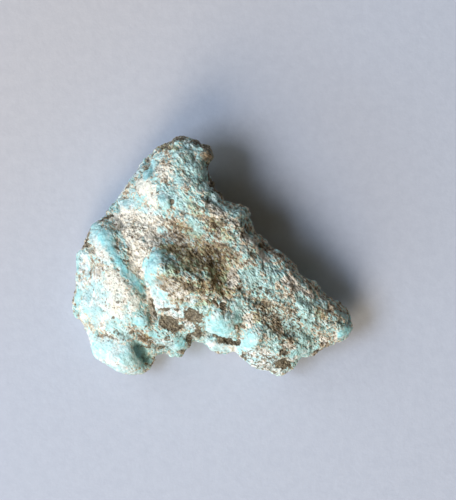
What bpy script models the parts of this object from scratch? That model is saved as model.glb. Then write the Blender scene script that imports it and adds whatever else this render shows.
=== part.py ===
"""A raw turquoise nugget: one lumpy natural stone that rests on a small flat break underneath.

The shape is worked out in millimetres, seen from above with x to the right and y upwards, and the mesh is
written in metres. The stone's plan is a closed curve. Its upper side is a smooth surface through the crests,
valleys and knobs named below, and its sides roll under along the plan. Its underside is a shallow bowl,
flat where the stone rests. The origin is on the floor, under the middle of the stone's box.
"""

import bmesh
import bpy
import numpy as np
from mathutils import Vector, noise
from mathutils.geometry import delaunay_2d_cdt

NAME = "turquoise_nugget"
METRES_PER_MM = 0.001

# Driving dimensions, in millimetres.
LENGTH = 44.0
WIDTH = 37.3
SIDE_ROLL = 3.8  # how far in from the plan's edge the upper side is still rolling over
WALL_ROLL = 0.8  # the same along the steep wall, on the upper right
WALL_SIDE = (0.72, 0.69)  # the way that wall faces
WALL_START = 4.0  # how far out that way the roll starts to tighten
WALL_BLEND = 4.0
UNDER_ROLL = 4.2  # how far in the underside is still rolling over
REST_CENTRE = (-3.4, -3.2)
REST_RADIUS = 9.5  # of the flat break underneath, roughly
REST_DEPTH = 0.9  # how far the bowl of the underside would reach below the floor
REST_SNAP = 0.05  # what is this near the floor lies on it
UNDER_WAVE_HEIGHT = 1.1
UNDER_WAVE_SIZE = 8.0
LUMP_HEIGHT = 0.30  # on the upper side, and twice that on the sides and underneath
LUMP_SIZE = 3.2
LUMP_FADE = 0.8  # how much fainter each finer layer of lumps is
LUMP_LAYERS = 2
GRAIN_HEIGHT = 0.16
GRAIN_SIZE = 1.5

# Mesh sizes, in millimetres, and the number of triangles kept.
CURVE_STEPS = 4
POINT_SPACING = 0.6
ROW_SHARE = 3**0.5 / 2  # the rows of an even triangular pattern, against its spacing
LINE_SPACING = 0.2
RELIEF_SPACING = 1.5
RELIEF_SOFTNESS = 0.4
RIM_SOFTNESS = 1.0
VOXEL = 0.35
SMOOTH_STEPS = 4
TRIANGLES = 6400
EASE_STEPS = 4
FOLD_ANGLE = 0.9  # radians

# The plan's outline, clockwise from the top of the crown.
OUTLINE = [
    # the crown, and the knob on its right corner
    (-4.3, 18.6), (-2.5, 18.3), (-1.1, 17.2), (0.2, 16.2), (0.2, 15.0), (-0.5, 14.1),
    # the wall down to the shoulder, and the long edge of the right arm
    (-0.3, 11.6), (1.1, 10.2), (1.9, 8.9), (3.4, 7.9), (4.8, 7.7), (5.7, 6.0), (6.5, 4.0), (7.8, 2.9),
    (8.8, 1.4), (10.5, 0.7), (12.1, -0.3), (13.8, -2.2), (16.0, -3.9), (17.8, -5.9), (20.1, -7.3),
    # the right tip
    (21.2, -8.9), (22.0, -10.4), (21.5, -12.1), (20.3, -13.2), (18.9, -13.4), (18.3, -14.1),
    # the lobe at the lower right
    (16.7, -15.1), (14.3, -16.3), (12.7, -17.4), (10.7, -18.6), (8.5, -18.1), (6.4, -17.2), (4.8, -16.0),
    # the ledge and the notch beside it
    (3.9, -14.7), (2.0, -15.1), (-0.3, -14.5), (-1.4, -13.2), (-2.8, -13.4), (-3.9, -14.5),
    (-5.1, -15.5), (-6.8, -15.2), (-8.5, -15.7),
    # the foot at the lower left
    (-9.3, -16.9), (-10.2, -18.0), (-12.2, -18.6), (-14.7, -18.2), (-17.1, -16.8), (-18.8, -14.8),
    # the left lobe
    (-19.8, -12.0), (-21.1, -9.3), (-21.9, -6.7), (-21.7, -4.2), (-21.5, -1.4), (-20.9, 1.0),
    (-19.7, 2.4), (-19.2, 4.5), (-17.8, 5.7), (-16.4, 6.6),
    # the long flank back up to the crown
    (-15.3, 9.0), (-13.3, 11.3), (-11.6, 13.8), (-10.1, 15.6), (-8.4, 16.7), (-6.5, 18.0),
]

# Where the sides are widest, round the stone: (x, y, height above the floor).
RIM = [
    (-4.3, 18.6, 6.6), (0.2, 15.0, 7.6), (1.1, 10.2, 7.4), (7.8, 2.9, 6.6), (13.8, -2.2, 6.2),
    (20.1, -7.3, 4.6), (22.0, -10.4, 4.4), (18.3, -14.1, 3.6), (10.7, -18.6, 3.8), (4.8, -16.0, 3.4),
    (0.0, -14.6, 3.2), (-2.8, -13.4, 4.0), (-8.5, -15.7, 3.2), (-14.7, -18.2, 3.4), (-20.0, -11.6, 3.2),
    (-21.8, -4.4, 4.2), (-19.2, 4.5, 4.8), (-15.3, 9.0, 4.0), (-10.1, 15.6, 4.6),
]

# The upper side, as lines and single spots of (x, y, height above the floor).
RELIEF = {
    "main ridge": [
        (-4.8, 17.0, 10.8), (-3.4, 13.5, 12.3), (-1.9, 9.8, 13.2), (1.2, 6.6, 13.4), (4.2, 4.0, 12.8),
        (7.2, 0.6, 12.0), (10.4, -2.2, 11.2), (13.4, -4.8, 10.4), (16.6, -7.6, 9.6), (19.0, -9.6, 8.2),
    ],
    "edge of the steep wall": [
        (-1.2, 15.6, 10.6), (-1.8, 12.8, 12.0), (-1.0, 10.6, 12.7), (1.6, 8.2, 13.0), (4.2, 6.2, 12.6),
        (5.6, 4.0, 11.8), (7.2, 2.0, 11.4), (9.6, -0.4, 10.8), (12.4, -2.4, 10.2), (15.4, -5.2, 9.4),
        (18.4, -7.8, 8.5), (20.4, -9.8, 7.3),
    ],
    "crown flank": [(-8.4, 15.2, 8.8), (-9.8, 12.4, 9.2), (-11.6, 10.2, 8.7), (-13.6, 8.6, 7.6)],
    "crown face": [(-6.6, 14.6, 10.9), (-7.2, 12.0, 11.3), (-6.0, 9.6, 12.2), (-4.2, 6.0, 12.5)],
    "slope under the crown": [(-8.0, 6.6, 10.8), (-10.4, 6.4, 9.5), (-9.6, 4.2, 10.0), (-6.2, 3.6, 11.3)],
    "sandy valley": [
        (-15.4, 7.6, 6.2), (-14.2, 5.4, 8.0), (-12.6, 3.0, 9.2), (-11.2, 0.2, 9.6), (-10.2, -3.0, 9.8),
        (-9.8, -6.4, 9.4), (-9.2, -9.0, 8.6),
    ],
    "left crest": [
        (-18.2, 4.2, 7.0), (-16.6, 2.4, 8.8), (-15.0, -0.2, 10.0), (-13.4, -3.0, 10.6), (-12.0, -5.6, 10.4),
        (-11.2, -8.0, 9.6),
    ],
    "left face": [(-20.0, -0.6, 5.8), (-18.4, -3.6, 7.2), (-16.4, -6.6, 8.2), (-13.8, -9.0, 8.8)],
    "left face, low": [(-20.2, -6.6, 5.6), (-19.0, -9.2, 6.2)],
    "saddle above the foot": [(-18.0, -11.6, 5.8), (-15.2, -12.0, 6.6), (-12.4, -12.4, 7.2)],
    "foot": [(-16.6, -14.8, 6.4), (-14.4, -15.2, 7.6), (-12.2, -14.6, 8.0), (-11.4, -16.4, 6.8)],
    "wall of the foot": [(-9.8, -14.0, 6.0), (-9.6, -15.6, 4.8)],
    "boss": [
        (-9.2, 0.6, 12.4), (-8.2, -1.0, 14.9), (-5.6, -2.6, 15.8), (-2.8, -3.6, 15.2), (0.2, -4.8, 13.7),
        (2.4, -6.2, 12.2),
    ],
    "boss, near side": [(-6.4, -5.4, 13.6), (-3.2, -6.6, 13.2), (-0.8, -7.4, 12.5)],
    "foot of the boss": [(-9.4, -4.6, 11.0), (-7.6, -7.0, 10.9), (-5.4, -8.4, 11.0), (-3.0, -8.6, 11.2)],
    "valley behind the boss": [
        (-9.6, 2.8, 10.4), (-7.2, 2.2, 11.1), (-4.2, 1.2, 11.7), (-1.2, 0.0, 12.0), (1.8, -1.6, 11.9),
        (4.4, -3.6, 11.6),
    ],
    "broken face": [(-7.4, -10.4, 8.8), (-4.8, -10.8, 8.8), (-2.4, -11.2, 8.6)],
    "broken face, low": [(-7.8, -13.0, 7.0), (-5.4, -13.4, 7.0), (-3.4, -12.4, 6.6)],
    "first bulge": [(-0.4, -8.8, 11.8), (1.8, -9.8, 11.6), (3.0, -10.6, 11.0)],
    "between the bulges": [(4.4, -7.4, 11.2), (5.1, -9.6, 10.6), (5.0, -12.4, 9.2)],
    "ledge": [(0.2, -14.0, 6.4), (2.8, -14.4, 6.2)],
    "second bulge": [(6.4, -12.0, 10.8), (8.2, -12.8, 10.4)],
    "lower right lobe": [(7.4, -15.6, 8.0), (10.0, -16.4, 7.0), (12.6, -15.0, 7.4)],
    "right arm, near side": [(7.6, -6.4, 10.6), (9.4, -9.0, 10.2), (12.6, -11.0, 9.0), (16.2, -12.8, 7.2)],
}

# Small round knobs on the upper side: (x, y, radius, height).
KNOBS = {
    "knob on the crown's right corner": (-0.8, 15.7, 1.0, 0.9),
    "knob on the crown's flank": (-9.7, 13.3, 1.0, 0.5),
    "knob under the crown": (-7.4, 8.4, 1.4, 0.7),
    "knob on the long flank": (-13.4, 8.4, 1.1, 0.5),
    "top of the left crest": (-17.2, 4.0, 1.2, 0.6),
    "knob at the end of the left crest": (-10.4, -10.3, 1.2, 1.0),
    "first bulge": (1.4, -10.2, 2.1, 0.7),
    "second bulge": (6.9, -12.4, 2.4, 0.35),
    "knob at the tip": (20.1, -11.2, 1.6, 0.9),
    "knob on the lower right lobe": (12.4, -14.2, 1.8, 0.5),
}

# Grooves and hollows in the upper side: (width, depth, line).
GROOVES = {
    "crevice under the first bulge": (0.6, 2.4, [(-1.3, -12.3), (0.6, -13.1), (3.8, -13.7)]),
    "vein beside the boss": (0.5, 0.7, [(-10.3, -5.0), (-9.4, -7.5), (-9.2, -9.8)]),
    "gap behind the left lobe": (0.8, 0.9, [(-16.4, 6.4), (-14.8, 5.6), (-13.8, 4.2)]),
    "gap between the bulges": (0.7, 0.8, [(5.0, -11.4), (4.8, -14.4)]),
    "hollow in the foot": (0.8, 1.1, [(-11.2, -13.6), (-10.0, -16.2)]),
    "gap left of the small knob": (0.7, 0.5, [(-11.8, -9.6), (-11.6, -12.0)]),
}

TURQUOISE = (0.46, 0.66, 0.66, 1.0)
ROUGHNESS = 0.82


def along(line, spacing):
    """The points of a polyline, about this far apart, ends included."""
    points = [line[0]]
    for start, end in zip(line, line[1:]):
        steps = max(1, round(float(np.linalg.norm(np.subtract(end, start))) / spacing))
        points += [tuple(np.add(start, np.subtract(end, start) * i / steps)) for i in range(1, steps + 1)]
    return points


def closed_curve(corners, steps):
    """A smooth closed curve (Catmull-Rom) through the corners, in this many steps from each to the next."""
    before, here = np.roll(corners, 1, axis=0), np.array(corners)
    after, beyond = np.roll(corners, -1, axis=0), np.roll(corners, -2, axis=0)
    curve = []
    for i in range(steps):
        t = i / steps
        curve.append(
            here
            + 0.5 * t * (after - before)
            + 0.5 * t**2 * (2 * before - 5 * here + 4 * after - beyond)
            + 0.5 * t**3 * (3 * here - before - 3 * after + beyond)
        )
    return np.stack(curve, axis=1).reshape(-1, 2)


def distance_to_edge(points, plan):
    """How far inside the plan each point is, negative outside it."""
    shortest = np.full(len(points), np.inf)
    inside = np.zeros(len(points), bool)
    for start, end in zip(plan, np.roll(plan, -1, axis=0)):
        edge = end - start
        share = np.clip((points - start) @ edge / (edge @ edge), 0, 1)
        shortest = np.minimum(shortest, np.linalg.norm(points - start - share[:, None] * edge, axis=1))
        spans = (start[1] > points[:, 1]) != (end[1] > points[:, 1])
        crossing = start[0] + (points[:, 1] - start[1]) * edge[0] / (edge[1] or 1e-9)
        inside ^= spans & (points[:, 0] < crossing)
    return np.where(inside, shortest, -shortest)


def bending(squared):
    """The thin plate's response at these squared distances."""
    return squared * np.log(squared + 1e-9)


def squared_distances(a, b):
    return ((a[:, None, :] - b[None, :, :]) ** 2).sum(axis=2)


def bent_plate(knots, softness):
    """A function giving the height of a thin plate bent through these knots of (x, y, height)."""
    knots = np.array(knots)
    places, heights = knots[:, :2], knots[:, 2]
    count = len(knots)
    plane = np.column_stack([np.ones(count), places])
    system = np.zeros((count + 3, count + 3))
    system[:count, :count] = bending(squared_distances(places, places)) + softness * np.eye(count)
    system[:count, count:] = plane
    system[count:, :count] = plane.T
    weights = np.linalg.solve(system, np.append(heights, np.zeros(3)))

    def height(points):
        bent = bending(squared_distances(points, places)) @ weights[:count]
        return bent + np.column_stack([np.ones(len(points)), points]) @ weights[count:]

    return height


def rolled(distance, width):
    """0 at the plan's edge and 1 from this far in, along a quarter of an ellipse."""
    share = np.clip(distance / width, 0, 1)
    return np.sqrt(1 - (1 - share) ** 2)


def distance_to_line(points, line):
    return np.sqrt(squared_distances(points, np.array(along(line, LINE_SPACING))).min(axis=1))


def upper_heights(points, distance, rim):
    """The relief with its knobs and grooves, rolled down to the rim along the plan's edge."""
    knots = [knot for line in RELIEF.values() for knot in along(line, RELIEF_SPACING)]
    heights = bent_plate(knots, RELIEF_SOFTNESS)(points)
    for x, y, radius, height in KNOBS.values():
        away = np.linalg.norm(points - np.array([x, y]), axis=1) / radius
        heights += height * np.exp(-(away**2))
    for width, depth, line in GROOVES.values():
        heights -= depth * np.exp(-((distance_to_line(points, line) / width) ** 2))
    wall = np.clip((points @ np.array(WALL_SIDE) - WALL_START) / WALL_BLEND, 0, 1)
    roll = SIDE_ROLL + (WALL_ROLL - SIDE_ROLL) * wall
    return rim + (heights - rim) * rolled(distance, roll)


def under_heights(points, distance, rim):
    """A wavy bowl, lowest where the stone rests, rolled up to the rim along the plan's edge."""
    out = np.linalg.norm(points - np.array(REST_CENTRE), axis=1) / REST_RADIUS
    wave = np.array([noise.noise(Vector((x, y, 0)) / UNDER_WAVE_SIZE) for x, y in points])
    bowl = REST_DEPTH * (out**2 - 1) + UNDER_WAVE_HEIGHT * wave * np.minimum(out, 1)
    return rim + (np.minimum(bowl, rim - 1) - rim) * rolled(distance, UNDER_ROLL)


def plan_triangles(plan):
    """The plan's outline and rows of points inside it, joined by triangles."""
    low, high = plan.min(axis=0), plan.max(axis=0)
    inside = []
    for row, y in enumerate(np.arange(low[1], high[1], POINT_SPACING * ROW_SHARE)):
        for x in np.arange(low[0] + (row % 2) * POINT_SPACING / 2, high[0], POINT_SPACING):
            inside.append((x, y))
    inside = np.array(inside)
    inside = inside[distance_to_edge(inside, plan) > POINT_SPACING * 0.5]
    points = [Vector(point) for point in np.concatenate([plan, inside])]
    edges = [(i, (i + 1) % len(plan)) for i in range(len(plan))]
    found, _, faces, _, _, _ = delaunay_2d_cdt(points, edges, [], 1, 1e-6)
    return np.array([tuple(point) for point in found]), faces


def pillow(plan):
    """The upper side and the underside, joined along the plan's edge."""
    points, faces = plan_triangles(plan)
    distance = np.maximum(distance_to_edge(points, plan), 0)
    on_edge = distance < 1e-3
    distance[on_edge] = 0
    rim = bent_plate(RIM, RIM_SOFTNESS)(points)
    tops = upper_heights(points, distance, rim)
    unders = under_heights(points, distance, rim)
    mesh = bmesh.new()
    upper = [mesh.verts.new((x, y, z)) for (x, y), z in zip(points, tops)]
    under = [
        upper[i] if on_edge[i] else mesh.verts.new((x, y, z))
        for i, ((x, y), z) in enumerate(zip(points, unders))
    ]
    for face in faces:
        mesh.faces.new([upper[i] for i in face])
        if not all(on_edge[i] for i in face):
            mesh.faces.new([under[i] for i in reversed(face)])
    bmesh.ops.recalc_face_normals(mesh, faces=mesh.faces)
    return mesh


def with_modifier(mesh, kind, **settings):
    """The mesh as this modifier leaves it."""
    data = bpy.data.meshes.new("working")
    mesh.to_mesh(data)
    mesh.free()
    working = bpy.data.objects.new("working", data)
    bpy.context.scene.collection.objects.link(working)
    modifier = working.modifiers.new("step", kind)
    for key, value in settings.items():
        setattr(modifier, key, value)
    bpy.context.view_layer.update()
    changed = bmesh.new()
    changed.from_object(working, bpy.context.evaluated_depsgraph_get())
    bpy.data.objects.remove(working)
    bpy.data.meshes.remove(data)
    return changed


def smooth(mesh, verts):
    bmesh.ops.smooth_vert(mesh, verts=verts, factor=0.5, use_axis_x=True, use_axis_y=True, use_axis_z=True)


def ease_folds(mesh):
    """Smooths the few corners that thinning the triangles left folded."""
    for _ in range(EASE_STEPS):
        mesh.normal_update()
        smooth(mesh, [v for v in mesh.verts if max(e.calc_face_angle(0) for e in v.link_edges) > FOLD_ANGLE])


def roughen(mesh):
    """Lumps and coarse grains, pushed in or out along the surface."""
    mesh.normal_update()
    moved = []
    for vert in mesh.verts:
        lump = noise.fractal(vert.co / LUMP_SIZE, LUMP_FADE, 2, LUMP_LAYERS)
        grain = noise.noise(vert.co / GRAIN_SIZE)
        height = LUMP_HEIGHT * (2 - max(vert.normal.z, 0)) * lump + GRAIN_HEIGHT * grain
        moved.append(vert.co + vert.normal * height)
    for vert, place in zip(mesh.verts, moved):
        vert.co = place


def fit_box(mesh):
    """Moves the stone over the origin and gives its box the stated length and width."""
    corners = np.array([tuple(vert.co) for vert in mesh.verts])
    low, high = corners.min(axis=0), corners.max(axis=0)
    middle = (low + high) / 2
    for vert in mesh.verts:
        vert.co.x = (vert.co.x - middle[0]) * LENGTH / (high[0] - low[0])
        vert.co.y = (vert.co.y - middle[1]) * WIDTH / (high[1] - low[1])


def flatten_rest_face(mesh):
    """Presses the underside flat where it would reach the floor."""
    for vert in mesh.verts:
        if vert.co.z < REST_SNAP:
            vert.co.z = 0


def stone_material():
    material = bpy.data.materials.new("stone")
    material.use_nodes = True
    shader = material.node_tree.nodes["Principled BSDF"]
    shader.inputs["Base Color"].default_value = TURQUOISE
    shader.inputs["Roughness"].default_value = ROUGHNESS
    shader.inputs["Metallic"].default_value = 0.0
    return material


def build_nugget():
    mesh = pillow(closed_curve(OUTLINE, CURVE_STEPS))
    mesh = with_modifier(mesh, "REMESH", mode="VOXEL", voxel_size=VOXEL)
    for _ in range(SMOOTH_STEPS):
        smooth(mesh, mesh.verts)
    roughen(mesh)
    flatten_rest_face(mesh)
    triangles = sum(len(face.verts) - 2 for face in mesh.faces)
    mesh = with_modifier(mesh, "DECIMATE", ratio=TRIANGLES / triangles, use_collapse_triangulate=True)
    ease_folds(mesh)
    fit_box(mesh)
    flatten_rest_face(mesh)
    bmesh.ops.scale(mesh, vec=(METRES_PER_MM,) * 3, verts=mesh.verts)
    data = bpy.data.meshes.new(NAME)
    mesh.to_mesh(data)
    mesh.free()
    data.shade_smooth()
    data.materials.append(stone_material())
    nugget = bpy.data.objects.new(NAME, data)
    bpy.context.scene.collection.objects.link(nugget)


def main():
    for old in list(bpy.data.objects):
        bpy.data.objects.remove(old)
    build_nugget()


if __name__ == "__main__":
    main()
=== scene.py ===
"""A raw turquoise nugget on pale paper, in the CAD's own frame.

The CAD solid gives the form. Here it becomes a finer mesh, gets its grains, pits and cracks
as real geometry, and a mineral material that follows the zones of the stone.
The stone's lengths are in millimetres until its mesh is written, and the stage's are in metres.
"""

import math
from types import SimpleNamespace

import bmesh
import bpy
import numpy as np
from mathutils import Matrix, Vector


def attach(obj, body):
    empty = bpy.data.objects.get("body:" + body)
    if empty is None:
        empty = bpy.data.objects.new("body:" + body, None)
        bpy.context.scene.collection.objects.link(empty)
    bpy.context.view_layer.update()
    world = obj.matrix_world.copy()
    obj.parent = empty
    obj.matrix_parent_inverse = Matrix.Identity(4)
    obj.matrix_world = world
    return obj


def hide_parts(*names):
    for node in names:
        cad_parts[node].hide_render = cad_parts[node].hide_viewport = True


MM = 0.001  # metres

# The fine mesh, and the smooth form that the grain sits on.
VOXEL = 0.2
SAME_PLACE = 1e-6  # metres
FORM_ROUNDS = 14  # of smoothing, which take away the CAD's flat facets
FORM_KEEP = 0.45  # share of its own place that a point keeps in a round
FORM_GIVE_BACK = 0.45  # share of its next step given back, so that the form doesn't shrink
LOCAL_ROUNDS = 12  # of averaging, over about half a millimetre around a point
FLOOR_FADE = (0.02, 0.5)  # heights between which the surface comes to move fully
FLOOR_SHARE = 0.25  # of its move that the surface keeps at the floor

# Z of the averaged normal: from the underside to the upper side, and from steep to level.
UPPER_RANGE = (-0.35, 0.15)
LEVEL_RANGE = (0.35, 0.75)

# Sizes and heights of the relief. A pair of heights is what shows everywhere, and what rough places add.
STREAK_ANGLE = math.radians(-45)  # the way that grains and stains are drawn out in plan
STREAK_STRETCH = 1.35
GRAIN = 0.78
GRAIN_HEIGHT = 0.36
STEEP_GRAIN = GRAIN * 1.15
STEEP_GRAIN_EXTRA = 0.08
GRAIN_MEAN = 0.62  # of their height from 0 to 1, about which grains move in and out
SMALL_GRAIN = 0.46
SMALL_GRAIN_HEIGHTS = (0.04, 0.15)
SMALL_GRAIN_MEAN = 0.6
LUMP = 2.6
LUMP_HEIGHTS = (0.14, 0.38)
PIT = 0.8
PIT_RANGE = (0.35, 0.75)
PIT_DEPTH = 0.26
# Pits count as gaps, which the material darkens with dirt and painted shade.
PIT_DIRT_AND_SHADE = 0.8
CREASE_SPACING = 2.6
CREASE_STRETCH = 1.45  # along the streaks, on top of theirs
CREASE_WIDTH = 0.12  # a crease lies where its noise is nearer to 0 than this
CREASE_DEPTH = 0.22
SKIN = 0.45
SKIN_HEIGHT = 0.03
SMOOTHING = 0.75  # share of the roughness that a smooth crust takes away

# The ragged edges of the zones: sizes of their noise, and how far it shifts an edge.
EDGE = 1.6
EDGE_SHIFT = 0.6
EDGE_DETAIL = 0.6
EDGE_DETAIL_SHIFT = 0.35
FINE_EDGE = 0.8
FINE_EDGE_SHIFT = 0.9
SPECK_SHIFT = 0.5  # of the fine noise, as is the next one
DARK_BAND_SHIFT = 1.1

# Grains, as shares of their size: how far one reaches, where its side falls, and its gap's width.
GRAIN_REACH = 1.1
GRAIN_SIDE = (0.45, 0.95)
GRAIN_GAP = 0.35

# Lobes, hollows and cuts: how far noise shifts their edges, and where their sides lie.
LIFT_SHIFT = 0.3
SINK_SHIFT = 0.4
SINK_SIDE = (0.7, 1.05)
CUT_SHIFT = 0.5
CUT_SIDE = (0.1, 1.1)

# The span of heights, about its surroundings, from full painted shade to full painted light: on steep
# sides, and more where level.
STEEP_SHADE_SPAN = 0.45
LEVEL_SHADE_SPAN = 0.75


# ---------------------------------------------------------------- repeatable noise
CELL_FACTORS = (374761393, 668265263, 2147483629)
SALT_FACTOR = 1274126177
MIX_FACTORS = (11400714819323198485, 13787848793156543929)
MIX_SHIFTS = (13, 29)
KEPT_BITS = 24
ORIGIN = 1000.0  # in cells, so that every cell has a positive number
AXIS_SALTS = (0, 101, 202)
OWN_SALT = 303
LAYER_SALT = 1000
NOISE_GAIN = 1.7


def hashed(cells, salt):
    """A number from 0 to 1 for each whole-number cell, always the same for the same cell and salt."""
    c = cells.astype(np.int64).astype(np.uint64)
    h = np.uint64(salt) * np.uint64(SALT_FACTOR)
    for axis, factor in enumerate(CELL_FACTORS):
        h = h + c[..., axis] * np.uint64(factor)
    for shift, factor in zip(MIX_SHIFTS, MIX_FACTORS):
        h = (h ^ (h >> np.uint64(shift))) * np.uint64(factor)
    return (h >> np.uint64(64 - KEPT_BITS)).astype(np.float64) / 2**KEPT_BITS


def hashed_triple(cells, salt):
    """Three such numbers for each cell, as columns."""
    return np.stack([hashed(cells, salt + k) for k in AXIS_SALTS], axis=1)


def smooth_noise(points, size, salt):
    """Gradient noise, roughly -1 to 1, with features about `size` across."""
    p = points / size + ORIGIN
    base = np.floor(p)
    f = p - base
    fade = f * f * f * (f * (f * 6 - 15) + 10)
    total = np.zeros(len(p))
    for corner in np.ndindex(2, 2, 2):
        offset = np.array(corner, float)
        gradient = hashed_triple(base + offset, salt) * 2 - 1
        weight = np.prod(np.where(offset > 0, fade, 1 - fade), axis=1)
        total += weight * np.einsum("ij,ij->i", gradient, f - offset)
    return total * NOISE_GAIN


def layered_noise(points, size, salt, layers=3):
    """Smooth noise in layers, each half the size and half the strength of the one before."""
    total = np.zeros(len(points))
    reach = 0.0
    for layer in range(layers):
        share = 0.5**layer
        total += share * smooth_noise(points, size * share, salt + LAYER_SALT * layer)
        reach += share
    return total / reach


def grains(points, size, salt):
    """Distance to the nearest and second grain centre, in grain sizes, and each grain's own number."""
    p = points / size + ORIGIN
    base = np.floor(p)
    nearest = np.full(len(p), np.inf)
    second = np.full(len(p), np.inf)
    own = np.zeros(len(p))
    for step in np.ndindex(3, 3, 3):
        cell = base + np.array(step, float) - 1
        centre = cell + hashed_triple(cell, salt)
        away = np.sqrt(((p - centre) ** 2).sum(axis=1))
        closer = away < nearest
        second = np.where(closer, nearest, np.minimum(second, away))
        own = np.where(closer, hashed(cell, salt + OWN_SALT), own)
        nearest = np.where(closer, away, nearest)
    return nearest, second, own


def ease(value, low, high):
    """0 below low, 1 above high, eased between."""
    share = np.clip((value - low) / (high - low), 0, 1)
    return share * share * (3 - 2 * share)


# ---------------------------------------------------------------- mesh helpers
def mesh_arrays(mesh):
    """The places of the mesh's vertices and the two ends of its edges."""
    points = np.empty(len(mesh.vertices) * 3)
    mesh.vertices.foreach_get("co", points)
    edges = np.empty(len(mesh.edges) * 2, np.int64)
    mesh.edges.foreach_get("vertices", edges)
    return points.reshape(-1, 3), edges.reshape(-1, 2)


def spread(values, edges, times, keep=0.5):
    """Each value moved towards the mean of its neighbours' values, as many times as asked."""
    values = values.astype(float)
    flat = values.ndim == 1
    if flat:
        values = values[:, None]
    count = np.bincount(edges.ravel(), minlength=len(values))[:, None]
    for _ in range(times):
        mean = np.empty_like(values)
        for axis in range(values.shape[1]):
            column = values[:, axis]
            total = np.bincount(edges[:, 0], column[edges[:, 1]], len(values))
            total += np.bincount(edges[:, 1], column[edges[:, 0]], len(values))
            mean[:, axis] = total
        values = keep * values + (1 - keep) * mean / count
    return values[:, 0] if flat else values


def vertex_normals(mesh, points):
    """The normals that the mesh has with its vertices at these points."""
    mesh.vertices.foreach_set("co", points.ravel())
    mesh.update()
    normals = np.empty(len(points) * 3)
    mesh.vertex_normals.foreach_get("vector", normals)
    return normals.reshape(-1, 3)


def fine_mesh(source):
    """The CAD form as one even, closed mesh of small quads, in millimetres."""
    work = bmesh.new()
    work.from_mesh(source.data)
    bmesh.ops.remove_doubles(work, verts=work.verts, dist=SAME_PLACE)
    bmesh.ops.scale(work, vec=(1 / MM,) * 3, verts=work.verts)
    mesh = bpy.data.meshes.new("form")
    work.to_mesh(mesh)
    work.free()
    holder = bpy.data.objects.new("form", mesh)
    bpy.context.scene.collection.objects.link(holder)
    remesh = holder.modifiers.new("remesh", "REMESH")
    remesh.mode = "VOXEL"
    remesh.voxel_size = VOXEL
    graph = bpy.context.evaluated_depsgraph_get()
    fine = bpy.data.meshes.new_from_object(holder.evaluated_get(graph))
    bpy.data.objects.remove(holder)
    return fine


# ---------------------------------------------------------------- the stone's zones, placed in plan
def place(points, x, y, long, wide, turn):
    """Distance from a blotch's centre, as a share of its size: 1 at its edge."""
    c, s = math.cos(math.radians(turn)), math.sin(math.radians(turn))
    dx, dy = points[:, 0] - x, points[:, 1] - y
    return np.sqrt(((c * dx + s * dy) / long) ** 2 + ((-s * dx + c * dy) / wide) ** 2)


def blotches(points, wobble, rows, soft):
    """The strongest blotch at each point, 0 outside them all, with edges made ragged by wobble."""
    total = np.zeros(len(points))
    for x, y, long, wide, turn, strength in rows:
        away = place(points, x, y, long, wide, turn) + wobble
        total = np.maximum(total, strength * (1 - ease(away, 1 - soft, 1 + soft)))
    return total


def line_distance(points, path):
    """Distance in plan to a line of points."""
    best = np.full(len(points), np.inf)
    here = points[:, :2]
    for start, end in zip(path[:-1], path[1:]):
        a, b = np.array(start, float), np.array(end, float)
        along = np.clip((here - a) @ (b - a) / ((b - a) @ (b - a)), 0, 1)
        best = np.minimum(best, np.linalg.norm(here - (a + along[:, None] * (b - a)), axis=1))
    return best


def bands(points, wobble, rows, soft):
    """The same for lines with a width: rows of (width, strength, path)."""
    total = np.zeros(len(points))
    for width, strength, path in rows:
        away = line_distance(points, path) / (width / 2) + wobble
        total = np.maximum(total, strength * (1 - ease(away, 1 - soft, 1 + soft)))
    return total


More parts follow.
